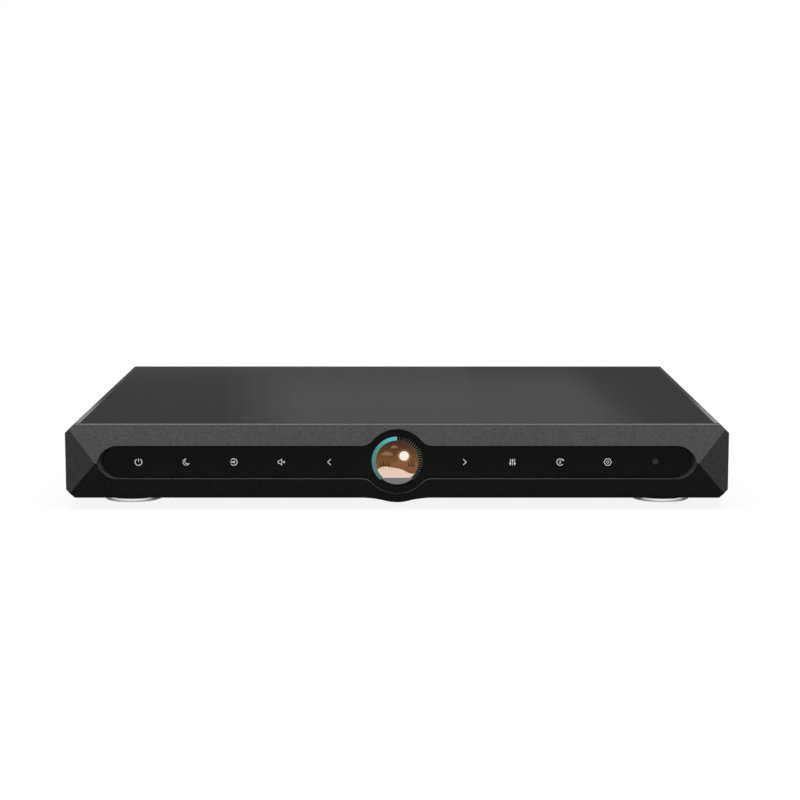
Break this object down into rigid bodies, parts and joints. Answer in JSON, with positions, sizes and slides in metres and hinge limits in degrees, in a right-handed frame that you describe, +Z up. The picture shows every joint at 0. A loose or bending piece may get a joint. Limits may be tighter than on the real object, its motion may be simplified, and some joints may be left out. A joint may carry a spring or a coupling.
{
  "type": "digital audio player",
  "caption": "Low, wide black desktop audio player: faceted metal front, long glossy lens with touch signs and a round colour display, flush top cover, silver feet, sockets on the rear",
  "frame": {"origin": "on the floor, under the middle of the bounding box", "axes": "+X to the right seen from the front, +Y to the rear, +Z up"},
  "size_m": [0.43, 0.33, 0.055],
  "materials": {
    "bezel_black": "bead-blasted, black anodised",
    "cover_black": "fine satin, black anodised",
    "side_black": "satin, black anodised",
    "sheet_black": "fine-textured black powder coat",
    "lens_black": "glossy, tinted black",
    "display": "glossy, lit from behind",
    "remote_dark": "glossy, deep red tint",
    "guide_clear": "milky",
    "foot_silver": "turned, natural anodised",
    "pad_rubber": "matte",
    "screw_steel": "zinc plated",
    "screw_black": "black oxide",
    "plate_steel": "zinc plated",
    "board_green": "solder mask",
    "coil_amber": "taped winding on an iron core",
    "capacitor_dark": "sleeved",
    "heatsink_black": "black anodised",
    "standoff_brass": "plain",
    "ribbon_pale": "flat cable",
    "lead_red": "insulated wire",
    "socket_black": "moulded",
    "rocker_black": "moulded",
    "shutter_grey": "moulded",
    "blade_nickel": "nickel plated",
    "jack_gold": "gold plated",
    "insulator_white": "moulded",
    "insulator_red": "moulded",
    "insulator_orange": "moulded",
    "tongue_white": "moulded",
    "fuse_glass": "clear"
  },
  "bodies": {
    "case": {"front_bezel": "bezel_black", "front_lens": "lens_black", "display_glass": "display", "display_module": "plate_steel", "remote_window": "remote_dark", "remote_receiver": "socket_black", "light_guides": "guide_clear", "touch_board": "board_green", "inner_front_plate": "plate_steel", "bezel_screws": "screw_steel", "plate_screws": "screw_steel", "top_cover": "cover_black", "base_plate": "sheet_black", "left_side_panel": "side_black", "right_side_panel": "side_black", "rear_panel": "sheet_black", "cover_screws": "screw_steel", "base_screws": "screw_black", "rear_screws": "screw_black", "front_left_foot": "foot_silver", "front_right_foot": "foot_silver", "rear_left_foot": "foot_silver", "rear_right_foot": "foot_silver", "front_left_pad": "pad_rubber", "front_right_pad": "pad_rubber", "rear_left_pad": "pad_rubber", "rear_right_pad": "pad_rubber", "foot_screws": "screw_steel", "mains_transformer": "coil_amber", "transformer_clamp": "plate_steel", "transformer_bolt": "screw_steel", "power_board": "board_green", "power_capacitors": "capacitor_dark", "regulator_heatsink": "heatsink_black", "main_board": "board_green", "processor_heatsink": "heatsink_black", "board_standoffs": "standoff_brass", "board_screws": "screw_steel", "front_ribbon": "ribbon_pale", "power_leads": "lead_red", "mains_inlet": "socket_black", "inlet_blades": "blade_nickel", "switch_frame": "socket_black", "left_line_shell": "jack_gold", "right_line_shell": "jack_gold", "coax_shell": "jack_gold", "left_line_insulator": "insulator_white", "right_line_insulator": "insulator_red", "coax_insulator": "insulator_orange", "jack_blocks": "socket_black", "optical_socket": "socket_black", "usb_shells": "blade_nickel", "usb_tongues": "tongue_white", "network_socket": "blade_nickel", "network_contacts": "jack_gold"},
    "power_rocker": {"power_rocker": "rocker_black"},
    "fuse_drawer": {"fuse_drawer": "socket_black", "fuse": "fuse_glass"},
    "optical_shutter": {"optical_shutter": "shutter_grey"}
  },
  "joints": [
    {"name": "rocker_tilt", "type": "hinge", "parent": "case", "child": "power_rocker", "pos_m": [-0.123, 0.1525, 0.0309], "axis": [1, 0, 0], "range_deg": [0, 18]},
    {"name": "fuse_drawer_slide", "type": "slide", "parent": "case", "child": "fuse_drawer", "axis": [0, 1, 0], "range_m": [0, 0.02]},
    {"name": "shutter_swing", "type": "hinge", "parent": "case", "child": "optical_shutter", "pos_m": [0.065, 0.155, 0.0248], "axis": [-1, 0, 0], "range_deg": [0, 90], "stiffness_Nm_per_rad": 0.0002}
  ]
}
